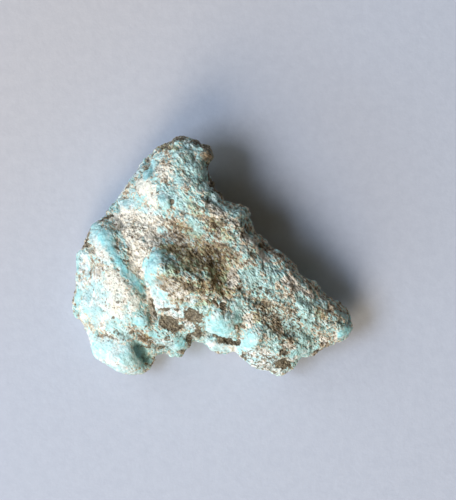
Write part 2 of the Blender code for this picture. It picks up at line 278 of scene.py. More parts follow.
# Each blotch is (x, y, half length, half width, turn in degrees, strength), and each band is
# (width, strength, path).
SMOOTH_CYAN = [
    # the crown
    (-10.1, 12.9, 1.3, 0.6, 70, 0.85),
    (-9.2, 14.4, 1.0, 0.5, 65, 0.8),
    (-7.3, 8.6, 1.7, 0.9, -65, 0.8),
    (-13.2, 8.5, 1.1, 0.7, -15, 0.6),
    (-12.4, 10.3, 0.7, 0.5, 30, 0.7),
    (-8.2, 15.6, 1.0, 0.5, 20, 0.6),
    (-5.0, 11.6, 1.2, 0.8, -40, 0.6),
    (-1.6, 13.2, 1.4, 0.8, -30, 0.6),
    (-3.1, 16.5, 1.4, 0.5, -15, 0.55),
    (-2.6, 10.4, 1.2, 0.6, -45, 0.5),
    (-5.6, 8.4, 0.6, 1.2, 0, 0.5),
    (-7.6, 4.0, 1.2, 0.9, 0, 0.5),
    # the boss and its flank
    (-8.9, -1.0, 2.5, 1.2, 60, 0.85),
    (-9.2, -3.2, 1.3, 0.9, -60, 0.7),
    (-7.6, -6.0, 1.1, 0.9, -40, 0.7),
    # the left lobe and its foot
    (-21.2, -1.2, 2.2, 0.5, 90, 0.6),
    (-21.0, -6.6, 1.6, 0.7, 80, 0.8),
    (-19.5, -8.5, 0.5, 0.4, 0, 0.8),
    (-17.2, -5.6, 1.0, 0.7, 0, 0.45),
    (-10.9, -10.0, 1.2, 0.8, -10, 0.85),
    (-14.0, -5.0, 0.8, 0.5, 0, 0.4),
    (-17.4, -14.4, 2.4, 1.2, 15, 0.65),
    (-12.8, -16.0, 2.4, 1.3, -35, 0.6),
    # the middle of the lower edge, and the lobe at the lower right
    (-8.6, -12.2, 1.3, 0.5, -15, 0.8),
    (-5.0, -13.4, 1.2, 1.0, -35, 0.9),
    (1.2, -10.4, 2.6, 2.0, 5, 0.85),
    (3.8, -8.2, 2.0, 0.9, 80, 0.75),
    (5.8, -13.2, 2.3, 1.3, 50, 0.78),
    (13.6, -14.8, 1.7, 0.9, 20, 0.72),
    (9.4, -13.4, 1.4, 0.7, -35, 0.5),
    (6.8, -11.6, 1.2, 0.7, 60, 0.5),
    # the upper slope, the right arm and its foot
    (5.6, -3.2, 1.7, 1.0, -45, 0.5),
    (9.4, -2.8, 1.4, 0.7, -45, 0.45),
    (-2.6, 5.4, 1.4, 0.7, -45, 0.45),
    (2.6, 7.4, 1.2, 0.6, -45, 0.5),
    (5.2, 1.2, 1.2, 0.7, -45, 0.5),
    (10.2, 0.9, 0.8, 0.4, -30, 0.6),
    (13.8, -7.5, 1.2, 0.6, -35, 0.5),
    (17.0, -7.3, 1.0, 0.7, -40, 0.6),
    (12.4, -10.2, 1.2, 0.5, 10, 0.6),
    (14.5, -10.0, 1.8, 0.7, -60, 0.6),
    (8.8, -11.6, 1.3, 0.8, -50, 0.6),
    (11.4, -9.8, 1.5, 0.6, -45, 0.5),
    (14.3, -12.8, 1.6, 0.6, -55, 0.6),
    (14.8, -15.0, 1.7, 0.7, 15, 0.65),
    (20.5, -11.7, 1.3, 0.9, 50, 0.95),
    (20.0, -8.9, 1.3, 0.5, -45, 0.6),
]
CYAN_BANDS = [
    # the saturated crest of the left lobe
    (1.9, 0.85, [(-18.2, 4.6), (-16.8, 3.6), (-15.6, 2.2)]),
    (1.3, 0.9, [(-17.2, 2.8), (-15.7, 1.3), (-14.9, 0.2), (-14.4, -0.8)]),
    (1.3, 0.95, [(-14.4, -0.8), (-13.1, -2.7), (-11.8, -4.0), (-10.9, -5.2)]),
]
CHALK = [
    (-10.0, 10.9, 1.7, 1.3, -30, 1.0),
    (-9.0, 8.8, 1.0, 1.7, 0, 0.8),
    (-13.4, 7.8, 1.5, 1.0, -10, 1.0),
    (-9.6, 6.8, 2.2, 1.0, 0, 0.75),
    (-12.2, 13.0, 2.6, 0.5, 55, 0.7),
    (-14.6, 9.8, 1.6, 0.5, 55, 0.6),
    (-3.6, 17.4, 1.1, 0.4, -15, 0.9),
    (-17.2, 1.2, 2.8, 1.1, -62, 1.0),
    (-20.2, -0.8, 1.2, 1.8, 0, 0.8),
    (-16.6, -6.4, 5.2, 5.4, 0, 0.64),
    (-15.4, -15.4, 4.8, 2.6, -35, 0.85),
    (-9.7, -3.2, 1.5, 0.7, 80, 0.85),
    (-8.7, -5.2, 1.2, 0.8, -50, 0.7),
    (-8.0, -7.0, 1.6, 1.6, 0, 0.8),
    (-3.4, -6.5, 1.1, 0.8, -10, 0.6),
    (-5.9, -5.0, 1.0, 0.6, 10, 0.5),
    (-7.8, -3.9, 0.5, 0.3, 0, 1.0),
    (-5.2, -8.4, 3.0, 0.9, -8, 0.85),
    (-3.5, -10.7, 1.3, 0.8, -35, 0.95),
    (-6.8, -13.6, 2.4, 0.8, -10, 0.9),
    (-0.8, -12.3, 0.9, 0.5, -20, 0.7),
    (1.4, -14.2, 2.8, 0.75, -8, 1.0),
    (4.5, -13.6, 0.5, 1.2, 0, 0.8),
    (8.2, -16.2, 3.8, 1.7, -22, 0.95),
    (12.6, -15.6, 1.2, 0.9, 30, 0.6),
    (0.0, -11.6, 1.4, 0.6, -30, 0.6),
]
SAND = [
    (-7.0, 13.0, 1.7, 1.5, -30, 0.62),
    (-10.0, 10.7, 1.9, 1.4, -30, 0.6),
    (-9.0, 8.6, 0.9, 1.7, 0, 0.6),
    (-18.4, 0.8, 0.9, 0.7, 0, 0.5),
    (-17.0, 0.7, 2.2, 0.8, -52, 0.34),
    (5.6, 2.6, 1.4, 0.7, -45, 0.5),
    (-14.6, -7.4, 2.0, 2.2, 0, 0.32),
    (-9.4, 5.4, 2.0, 1.0, 0, 0.6),
    (-14.8, -3.8, 2.8, 1.8, -50, 0.44),
    (-12.2, -6.6, 1.2, 1.6, 0, 0.4),
    (0.8, 6.6, 1.0, 0.6, -30, 0.8),
    (3.2, -3.2, 0.9, 1.5, 0, 0.9),
    (7.6, 0.4, 1.6, 0.8, -45, 0.6),
    (12.2, -4.2, 1.7, 0.9, -30, 0.8),
    (14.8, -5.6, 1.3, 0.6, -35, 0.8),
    (13.2, -11.4, 1.0, 0.6, -30, 0.45),
    (5.7, -9.6, 0.7, 1.2, 10, 0.85),
    (7.2, -11.8, 0.7, 0.4, 0, 0.8),
    (11.6, -13.8, 1.2, 0.4, -20, 0.7),
    (17.4, -12.8, 0.9, 0.4, 0, 0.85),
    (19.2, -12.3, 0.4, 0.9, 0, 0.8),
    (-4.8, -5.8, 1.2, 0.6, 20, 0.7),
    (-5.8, -4.2, 1.8, 1.2, -25, 0.45),
]
SAND_BANDS = [
    (2.8, 0.95, [(-14.0, 6.0), (-12.4, 3.6), (-11.3, 0.8), (-11.4, -2.0)]),
    (2.6, 0.9, [(-11.8, 6.0), (-9.6, 4.6), (-9.2, 2.4)]),
    (1.0, 0.7, [(-9.9, -5.0), (-9.5, -7.0), (-9.0, -9.2)]),
    (1.4, 0.5, [(-0.6, 8.2), (1.6, 6.6), (3.6, 5.0)]),
]
OLIVE = [
    (-6.0, 1.1, 2.2, 0.8, -15, 0.95),
    (-1.2, -0.6, 4.2, 2.2, -15, 0.95),
    (1.2, -2.8, 2.6, 1.4, -10, 0.85),
    (2.6, 0.2, 2.2, 1.2, -30, 0.5),
    (-5.8, -1.8, 1.4, 0.9, -10, 0.55),
    (-1.6, -4.6, 3.6, 1.1, -5, 0.6),
    (-5.6, -4.0, 2.4, 1.7, -20, 0.6),
    (-4.6, -6.4, 2.2, 0.9, 0, 0.5),
    (2.1, -5.2, 1.4, 1.1, 0, 0.75),
    (-1.0, -7.0, 1.8, 0.6, 0, 0.55),
    (-3.4, 3.6, 2.6, 1.0, -30, 0.5),
    (1.0, 4.4, 2.6, 1.2, -40, 0.55),
    (8.3, -7.2, 1.8, 1.2, -40, 0.4),
    (9.4, -10.7, 2.2, 1.4, -45, 0.35),
    (6.8, -9.4, 0.6, 0.9, 20, 0.85),
    (16.6, -8.6, 1.6, 0.8, -40, 0.5),
    (-0.4, -9.1, 0.4, 1.0, 0, 0.8),
    (-10.2, -12.6, 0.8, 0.6, 0, 0.7),
    (-12.8, 4.4, 1.4, 0.9, -30, 0.3),
    (-6.6, 16.9, 1.8, 0.5, -5, 0.7),
    (-2.6, 7.4, 2.2, 0.9, -45, 0.5),
]
DARK = [
    (-6.5, -10.5, 1.9, 1.2, -25, 1.0),
    (-2.9, -9.0, 1.5, 1.2, -20, 1.0),
    (-3.5, -13.1, 0.5, 0.9, 0, 0.85),
    (-2.5, -12.0, 0.7, 0.6, 0, 0.75),
    (11.0, -16.8, 1.2, 0.9, 10, 1.0),
    (11.1, -14.9, 0.8, 0.5, -10, 0.85),
    (-3.1, -4.8, 0.9, 0.5, 0, 0.8),
    (1.7, -7.6, 0.6, 0.6, 0, 0.85),
    (-6.1, 8.4, 0.4, 0.55, 0, 0.9),
    (-8.3, 9.8, 0.4, 0.15, 30, 0.8),
    (-10.3, 13.7, 0.4, 0.2, 30, 0.8),
    (-7.3, -8.1, 0.9, 0.3, 0, 0.8),
    (-5.3, -8.0, 0.7, 0.25, 0, 0.7),
    (-7.0, -12.8, 0.5, 0.4, 0, 0.6),
    (-8.0, -14.2, 0.7, 0.2, 10, 0.7),
    (-4.6, -14.7, 0.5, 0.2, 0, 0.7),
    (-12.5, -11.7, 0.4, 0.3, 0, 0.8),
    (-10.2, -10.7, 0.25, 0.2, 0, 0.9),
    (-15.4, -9.5, 0.3, 0.25, 0, 0.9),
    (-15.7, -12.6, 0.5, 0.3, 0, 0.6),
    (-13.3, -0.6, 0.6, 0.25, 0, 0.7),
    (-19.4, 1.8, 0.7, 0.5, 0, 0.5),
    (-16.3, 6.3, 0.9, 0.3, 15, 0.7),
    (12.6, -9.7, 0.3, 0.25, 0, 0.8),
    (9.4, -15.6, 0.4, 0.3, 0, 0.6),
    (5.0, -15.6, 0.5, 0.3, -40, 0.7),
    # areas where brown crumbs are only scattered
    (8.2, -16.2, 4.0, 1.8, -22, 0.42),
    (-5.4, -11.0, 4.0, 3.2, 0, 0.32),
    (9.6, -8.6, 6.4, 3.4, -40, 0.41),
    (9.6, -9.6, 2.8, 1.3, -60, 0.46),
    (2.6, 0.2, 2.4, 1.6, -30, 0.36),
    (-15.4, -5.2, 3.4, 5.6, 20, 0.3),
    (2.2, 3.8, 6.0, 3.4, -42, 0.31),
    (-3.4, 14.6, 3.4, 3.0, -35, 0.2),
    (-5.2, -3.4, 2.8, 2.2, -10, 0.3),
    (-12.4, 4.6, 3.0, 1.8, -30, 0.33),
    (-16.4, -12.2, 1.9, 0.7, 5, 0.38),
    (-14.0, -12.0, 3.6, 1.2, 10, 0.34),
    (16.8, -9.6, 3.4, 3.0, -40, 0.28),
]
DARK_BANDS = [
    (0.7, 0.6, [(-7.6, 16.9), (-6.2, 17.6), (-4.6, 18.1)]),
    (0.8, 0.7, [(-3.0, 18.2), (-1.7, 17.5), (-0.8, 16.8)]),
    # painted shade: the crown's right side wall, dark where it faces away from the light
    (0.7, 0.8, [(-0.6, 14.4), (-0.4, 12.2), (0.2, 10.7), (1.4, 9.6)]),
    (0.5, 0.8, [(-9.3, -6.6), (-9.0, -8.4), (-8.6, -9.6)]),
    (0.9, 0.95, [(0.2, -12.6), (1.0, -13.1), (2.5, -13.3), (3.9, -13.4)]),
    (0.7, 0.8, [(-2.6, -10.3), (-2.0, -11.2), (-1.8, -12.0)]),
    (0.4, 0.7, [(-10.8, -14.2), (-9.8, -14.1), (-9.7, -13.2)]),
]
TAN = [
    (-0.4, 15.6, 1.3, 1.1, 0, 1.0),
    (-16.6, 6.0, 0.5, 0.3, 0, 0.9),
    (-4.5, 6.6, 0.5, 0.2, -45, 0.9),
    (-7.7, -3.8, 1.2, 0.7, 0, 0.6),
    (-2.5, -12.1, 0.9, 0.6, 0, 0.8),
    (-8.4, -14.0, 1.0, 0.5, 0, 0.7),
    (2.6, -13.4, 1.2, 0.3, 0, 0.5),
    (-18.8, 0.9, 0.6, 0.5, 0, 0.6),
    (-17.6, -2.4, 0.5, 0.6, 0, 0.5),
    (3.4, -2.6, 0.7, 0.8, 0, 0.6),
]
TEAL = [
    # the foot's notch: deep teal as painted shade on the side that faces away from the light
    (-10.7, -15.3, 2.1, 0.8, -60, 1.0),
    (-14.2, -12.0, 1.4, 0.8, -20, 0.6),
    (-3.0, 14.2, 1.8, 1.2, -40, 0.5),
    (-2.8, 4.8, 1.8, 0.9, -45, 0.5),
    (-3.8, 13.2, 3.8, 3.0, -40, 0.5),
    (-4.5, 9.5, 3.0, 2.0, -45, 0.36),
    (0.5, 9.0, 2.2, 1.2, -45, 0.36),
    (-6.0, -1.6, 2.2, 1.4, -30, 0.3),
    (6.4, -3.4, 2.0, 1.1, -45, 0.6),
    (9.6, -2.6, 1.8, 0.8, -40, 0.5),
    (14.2, -9.4, 1.8, 0.9, -45, 0.6),
    (14.8, -7.4, 2.4, 1.0, -42, 0.6),
    (13.4, -11.9, 2.8, 1.6, -45, 0.6),
    (9.8, -5.6, 2.2, 0.9, -42, 0.45),
]
SMOOTH_PATCHES = [
    # crusts that are smooth without being cyan
    (-16.6, -6.4, 5.6, 8.4, 0, 0.78),
    (-14.5, -15.4, 6.0, 3.6, -30, 0.85),
    (8.4, -16.2, 4.6, 2.6, -25, 0.45),
    (-4.0, -9.6, 6.0, 3.0, -8, 0.45),
    (-11.0, 9.6, 4.4, 2.8, 45, 0.95),
    (-17.0, 1.4, 3.4, 1.6, -60, 0.9),
    (-9.0, -2.6, 2.2, 4.2, 15, 0.5),
    (1.4, -14.3, 2.8, 0.9, -8, 0.9),
]
LIFTS = [
    # rounded lobes that stand out of the form, with a height in place of a strength
    (1.2, -10.4, 3.0, 2.4, 5, 0.08),
    (-7.5, 8.5, 2.1, 1.3, -65, 0.3),
    (-10.0, 10.9, 2.0, 1.6, -30, 0.2),
    (-13.3, 8.1, 1.8, 1.2, -10, 0.25),
    (-10.9, -10.0, 1.5, 1.1, -10, 0.3),
    (-0.7, 15.6, 1.1, 1.0, 0, 0.12),
    (-8.8, -1.6, 3.4, 2.2, 62, 0.22),
    (-16.6, 2.2, 2.4, 1.3, -55, 0.2),
]
SINKS = [
    # hollows with dark matrix in them and open pits, with a depth
    (-6.5, -10.5, 1.9, 1.2, -25, 0.34),
    (-2.9, -9.0, 1.5, 1.2, -20, 0.3),
    (-3.3, -12.8, 0.8, 1.0, 0, 0.45),
    (11.0, -16.8, 1.3, 0.9, 10, 0.26),
    (11.1, -14.9, 0.8, 0.5, -10, 0.2),
    (-6.1, 8.4, 0.5, 0.6, 0, 0.35),
    (-10.7, -15.3, 2.2, 0.9, -60, 0.55),
    (1.7, -7.6, 0.6, 0.6, 0, 0.2),
    (-7.8, -3.8, 0.7, 0.5, 0, 0.15),
]
CUTS = [
    # grooves between lobes, and open cracks: (width, depth, path)
    (1.2, 0.9, [(-1.0, -12.1), (1.0, -13.0), (2.5, -13.3), (4.0, -13.4)]),
    (0.8, 0.35, [(-9.9, -5.0), (-9.4, -7.0), (-8.8, -9.4)]),
    (0.9, 0.3, [(4.2, -13.2), (4.3, -11.6), (5.2, -9.6), (6.2, -8.8)]),
    (0.8, 0.35, [(-7.8, 16.8), (-5.6, 16.9), (-3.4, 16.9), (-1.4, 16.2)]),
    (0.8, 0.35, [(-17.0, 6.5), (-15.2, 6.4), (-14.2, 5.0)]),
    (0.6, 0.3, [(-9.4, 14.4), (-9.5, 12.6)]),
    (0.7, 0.3, [(-1.2, -11.4), (-1.1, -9.6), (-0.2, -8.2)]),
    (0.6, 0.3, [(-10.4, -4.4), (-10.5, -2.6), (-9.6, 0.2)]),
]
# Underneath, where the photo shows nothing, each mineral lies in patches of its own:
# (size, salt, which side of the noise, strength, and the range over which the patch fades in).
PATCHES_BELOW = {
    "cyan": (7.0, 31, 1, 0.8, 0.12, 0.35),
    "chalk": (5.0, 32, 1, 0.85, 0.1, 0.3),
    "sand": (7.0, 31, -1, 0.7, 0.2, 0.35),
    "olive": (5.0, 32, -1, 0.7, 0.2, 0.4),
    "dark": (1.8, 33, 1, 0.9, 0.42, 0.5),
    "tan": (2.4, 34, 1, 0.6, 0.38, 0.5),
    "teal": (3.0, 35, 1, 0.6, 0.25, 0.45),
}


# ---------------------------------------------------------------- the stone's shape
def smooth_form(mesh):
    """The mesh's points with the CAD's facets smoothed away, and its edges."""
    points, edges = mesh_arrays(mesh)
    for _ in range(FORM_ROUNDS):
        points = spread(points, edges, 1, FORM_KEEP)
        points = points + FORM_GIVE_BACK * (points - spread(points, edges, 1))
    return points, edges


def mineral_zones(form, upper, wobble, fine_wobble):
    """Each mineral's strength at each point: from the tables above, and in patches below."""
    speckled = SPECK_SHIFT * fine_wobble
    above = {
        "cyan": np.maximum(
            blotches(form, wobble, SMOOTH_CYAN, soft=0.35), bands(form, wobble, CYAN_BANDS, soft=0.4)
        ),
        "chalk": blotches(form, wobble, CHALK, soft=0.35),
        "sand": np.maximum(
            blotches(form, wobble, SAND, soft=0.4), bands(form, wobble, SAND_BANDS, soft=0.4)
        ),
        "olive": blotches(form, wobble, OLIVE, soft=0.45),
        "dark": np.maximum(
            blotches(form, speckled, DARK, soft=0.25),
            bands(form, DARK_BAND_SHIFT * fine_wobble, DARK_BANDS, soft=0.4),
        ),
        "tan": blotches(form, speckled, TAN, soft=0.3),
        "teal": blotches(form, wobble, TEAL, soft=0.4),
    }
    zones = {}
    for name, (size, salt, side, strength, low, high) in PATCHES_BELOW.items():
        below = strength * ease(side * layered_noise(form, size, salt), low, high)
        zones[name] = above[name] * upper + below * (1 - upper)
    return zones


def grain_field(points, size, salt):
    """Round grains packed against each other: their height, how deep their gap is, and their numbers."""
    nearest, second, own = grains(points, size, salt)
    height = 1 - np.clip(nearest, 0, GRAIN_REACH) ** 2
    gap = ease(nearest, *GRAIN_SIDE) * (1 - ease(second - nearest, 0.0, GRAIN_GAP))
    return height, gap, own


def in_streaks(form):
    """The points in a frame turned and squeezed, so that noise drawn on them runs in streaks."""
    c, s = math.cos(STREAK_ANGLE), math.sin(STREAK_ANGLE)
    along = (c * form[:, 0] + s * form[:, 1]) / STREAK_STRETCH
    across = -s * form[:, 0] + c * form[:, 1]
    return np.stack([along, across, form[:, 2]], axis=1)


def blend(level, top, steep):
    return level * top + (1 - level) * steep


def rough_height(heights, rough):
    everywhere, more = heights
    return everywhere + more * rough


def grain_relief(form, level, rough):
    """How far out grains, lumps, pits and creases move each point, with its gap and grain number."""
    # Grains lie in streaks on the open top and in no one direction on the steep sides.
    streak = in_streaks(form)
    bump, hollow, own = grain_field(streak, GRAIN, salt=41)
    steep_bump, steep_hollow, steep_own = grain_field(form, STEEP_GRAIN, salt=46)
    bump = blend(level, bump, steep_bump)
    hollow = blend(level, hollow, steep_hollow)
    own = np.where(level > 0.5, own, steep_own)
    small = grain_field(streak, SMALL_GRAIN, salt=42)[0]
    lumps = layered_noise(streak, LUMP, salt=43, layers=2)
    lumps = blend(level, lumps, layered_noise(form, LUMP, salt=47, layers=2))
    pits = ease(smooth_noise(form, PIT, salt=44), *PIT_RANGE)
    long_streak = streak / np.array([CREASE_STRETCH, 1.0, 1.0])
    crease = np.abs(layered_noise(long_streak, CREASE_SPACING, salt=48, layers=2))
    crease = 1 - ease(crease, 0.0, CREASE_WIDTH)

    move = (GRAIN_HEIGHT + STEEP_GRAIN_EXTRA * (1 - level)) * rough * (bump - GRAIN_MEAN)
    move += rough_height(SMALL_GRAIN_HEIGHTS, rough) * (small - SMALL_GRAIN_MEAN)
    move += rough_height(LUMP_HEIGHTS, rough) * lumps
    move -= PIT_DEPTH * rough * pits
    move -= CREASE_DEPTH * rough * level * crease
    move += SKIN_HEIGHT * smooth_noise(form, SKIN, salt=45)
    # Gaps between grains and pits, darkened in the material with dirt and painted shade.
    gap = np.clip(hollow * rough + PIT_DIRT_AND_SHADE * pits * rough, 0, 1)
    return move, gap, own


def raise_and_cut(move, form, upper, ragged, fine_wobble):
    """Adds the lobes, hollows, grooves and cracks of the tables to move."""
    for x, y, long, wide, turn, height in LIFTS:
        away = place(form, x, y, long, wide, turn) + LIFT_SHIFT * ragged
        move += upper * height * np.clip(1 - away * away, 0, 1)
    for x, y, long, wide, turn, depth in SINKS:
        away = place(form, x, y, long, wide, turn) + SINK_SHIFT * fine_wobble
        move -= upper * depth * (1 - ease(away, *SINK_SIDE))
    for width, depth, path in CUTS:
        away = line_distance(form, path) / (width / 2) + CUT_SHIFT * fine_wobble
        move -= upper * depth * (1 - ease(away, *CUT_SIDE))


def shape_stone(mesh):
    """The stone's points, the way each place looks, and by name the numbers that the material reads."""
    form, edges = smooth_form(mesh)
    normals = vertex_normals(mesh, form)
    facing = spread(normals, edges, LOCAL_ROUNDS)
    facing /= np.linalg.norm(facing, axis=1)[:, None]
    upper = ease(facing[:, 2], *UPPER_RANGE)
    level = ease(facing[:, 2], *LEVEL_RANGE)

    ragged = layered_noise(form, EDGE, salt=11)
    wobble = EDGE_SHIFT * ragged + EDGE_DETAIL_SHIFT * smooth_noise(form, EDGE_DETAIL, salt=12)
    fine_wobble = FINE_EDGE_SHIFT * layered_noise(form, FINE_EDGE, salt=13)
    zones = mineral_zones(form, upper, wobble, fine_wobble)
    patches = blotches(form, wobble, SMOOTH_PATCHES, soft=0.5) * upper
    rough = 1 - SMOOTHING * np.maximum(zones["cyan"], patches)

    move, gap, own = grain_relief(form, level, rough)
    raise_and_cut(move, form, upper, ragged, fine_wobble)
    move *= FLOOR_SHARE + (1 - FLOOR_SHARE) * ease(form[:, 2], *FLOOR_FADE)
    proud = move - spread(move, edges, LOCAL_ROUNDS)

    points = form + normals * move[:, None]
    points[:, 2] = np.maximum(points[:, 2], 0.0)
    zones["grain"] = own
    zones["hollow"] = gap
    zones["rough"] = rough
    # How far each point stands above its surroundings, which the material turns into painted shade and
    # painted light.
    zones["proud"] = np.clip(0.5 + proud / (STEEP_SHADE_SPAN + LEVEL_SHADE_SPAN * level), 0, 1)
    return points, facing, zones


# The bake map, as a square sheet. Each view along an axis has a row of two charts, one from each end:
# axis looked along: (axis that runs across, axis that runs up, where the row starts).
CHART_VIEWS = {2: (0, 1, 0.0), 0: (1, 2, 40.0), 1: (0, 2, 58.0)}
CHART_COLUMNS = {True: 0.0, False: 46.0}
CHART_MARGIN = 0.5
CHART_SHEET = 93.0


def project_charts(mesh, points, facing):
    """Puts each face on the chart of the side that it looks to."""
    faces = np.empty(len(mesh.loops), np.int64)
    mesh.loops.foreach_get("vertex_index", faces)
    owner = np.repeat(np.arange(len(mesh.polygons)), [p.loop_total for p in mesh.polygons])
    size = np.bincount(owner)
    look = np.stack(
        [np.bincount(owner, facing[faces, k], len(size)) / size for k in range(3)], axis=1
    )
    axis = np.abs(look).argmax(axis=1)
    positive = np.take_along_axis(look, axis[:, None], 1)[:, 0] > 0
    corner = points[faces] - points.min(axis=0)
    uv = np.zeros((len(faces), 2))
    for side, (first, second, row) in CHART_VIEWS.items():
        for end, column in CHART_COLUMNS.items():
            mine = ((axis == side) & (positive == end))[owner]
            uv[mine, 0] = (corner[mine, first] + column + CHART_MARGIN) / CHART_SHEET
            uv[mine, 1] = (corner[mine, second] + row + CHART_MARGIN) / CHART_SHEET
    layer = mesh.uv_layers.new(name="OFBake")
    layer.data.foreach_set("uv", uv.astype(np.float32).ravel())


# ---------------------------------------------------------------- colours
def linear(red, green, blue):
    """A screen colour from 0 to 255 as the linear colour that the shader takes."""
    out = []
    for part in (red, green, blue):
        v = part / 255
        out.append(v / 12.92 if v <= 0.04045 else ((v + 0.055) / 1.055) ** 2.4)
    return (*out, 1.0)


GROUND = [
    (0.00, linear(216, 244, 240)),
    (0.20, linear(168, 219, 216)),
    (0.36, linear(182, 216, 209)),
    (0.50, linear(226, 233, 219)),
    (0.64, linear(231, 217, 191)),
    (0.84, linear(187, 166, 138)),
    (1.00, linear(108, 95, 79)),
]
OLIVE_GROUND = [
    (0.00, linear(202, 226, 192)),
    (0.30, linear(192, 207, 172)),
    (0.55, linear(199, 181, 140)),
    (0.80, linear(172, 151, 114)),
    (1.00, linear(104, 88, 65)),
]
SAND_CRUST = [
    (0.35, linear(124, 104, 86)),
    (0.42, linear(230, 219, 198)),
    (0.52, linear(245, 238, 222)),
    (0.75, linear(234, 239, 230)),
]
CHALK_CRUST = [
    (0.38, linear(182, 221, 221)),
    (0.50, linear(214, 234, 231)),
    (0.58, linear(246, 244, 235)),
    (0.70, linear(240, 228, 204)),
]
CYAN_CRUST = [
    (0.32, linear(158, 216, 215)),
    (0.50, linear(188, 228, 225)),
    (0.66, linear(228, 244, 240)),
]
# Dark matrix, also used as painted shade on the crown's right side wall.
MATRIX_AND_SHADE = [
    (0.32, linear(74, 66, 52)),
    (0.52, linear(118, 108, 88)),
    (0.66, linear(176, 164, 138)),
]
# Painted highlight: pale specks on the rough ground that stand in for glints.
PAINTED_GLINT = linear(236, 238, 228)
CREAM = linear(246, 240, 222)
VEIN = linear(150, 124, 100)
VIVID_CYAN = linear(138, 214, 221)
PALE_TEAL = (linear(150, 190, 182), linear(184, 219, 210))
# Deep teal, also used as painted shade in the foot's notch.
DEEP_TEAL_AND_SHADE = (linear(104, 154, 156), linear(142, 194, 197))
STAIN = (linear(96, 82, 64), linear(164, 144, 116))
# Dirt and painted shade in the gaps between grains.
GAP_DIRT_AND_SHADE = (linear(80, 72, 60), linear(122, 102, 80))

# What each pattern adds to the ground's tone, which runs from pale blue-green to dark brown.
TONE_WEIGHTS = {
    "broad": 0.95, "crumb_tone": 0.32, "dust_tone": 0.28, "grain": 0.1, "middle": 0.5, "fine": 0.22,
    "olive": 0.1, "sand": 0.05, "teal": -0.3,
}
TONE_RANGE = (0.83, 1.52)

# How much of what they lie on each of these covers, at its strongest.
PAINTED_GLINT_COVER = 0.6
CREAM_COVER = 0.85
VEIN_COVER = 0.75
VIVID_COVER = 0.75
TEAL_COVER = 0.8
STAIN_COVER = 0.85
CRUST_CLEAN = 0.6  # share of the gap dirt and painted shade that a crust keeps off
SAND_CLEAN = 0.8  # how far sand counts as a crust there
VEIN_WIDTH = 0.022  # a vein lies where its noise is nearer to its middle than this
# Painted shade in the low places and painted light on the proud ones, as factors on the colour.
RELIEF_SHADE_TINT = (0.66, 1.34)  # of the low places and of the proud ones
ZONE_NAMES = (
    "cyan", "chalk", "sand", "olive", "dark", "tan", "teal", "grain", "hollow", "rough", "proud",
)
COLOUR_STRETCH = STREAK_STRETCH * 1.1
DUST_STRETCH = 2.2

STONE_SPECULAR = 0.4
GROUND_ROUGHNESS = (0.9, 0.62)
CYAN_GLOSS = 0.16
MATRIX_GLOSS = 0.18
GRIT_WEIGHTS = {"dust": -0.65, "crumb": -0.95, "fine": 0.5}
SMOOTH_GRIT = 0.16  # share of the grit that smooth crusts keep
FAINT_GRIT = 0.4
STONE_BUMP = (0.85, 0.42)  # strength and depth
PAPER_COLOURS = ((0.545, 0.583, 0.673, 1), (0.585, 0.623, 0.713, 1))
# A warm light painted onto the paper, stronger towards -X and +Y.
PAPER_PAINTED_WARM_LIGHT = (1.03, 0.96, 0.885, 1)
PAPER_PAINTED_WARM_LIGHT_RANGE = (5 * MM, 65 * MM)  # of Y minus X
PAPER_ROUGHNESS = 0.9
PAPER_BUMP = (0.25, 0.12)


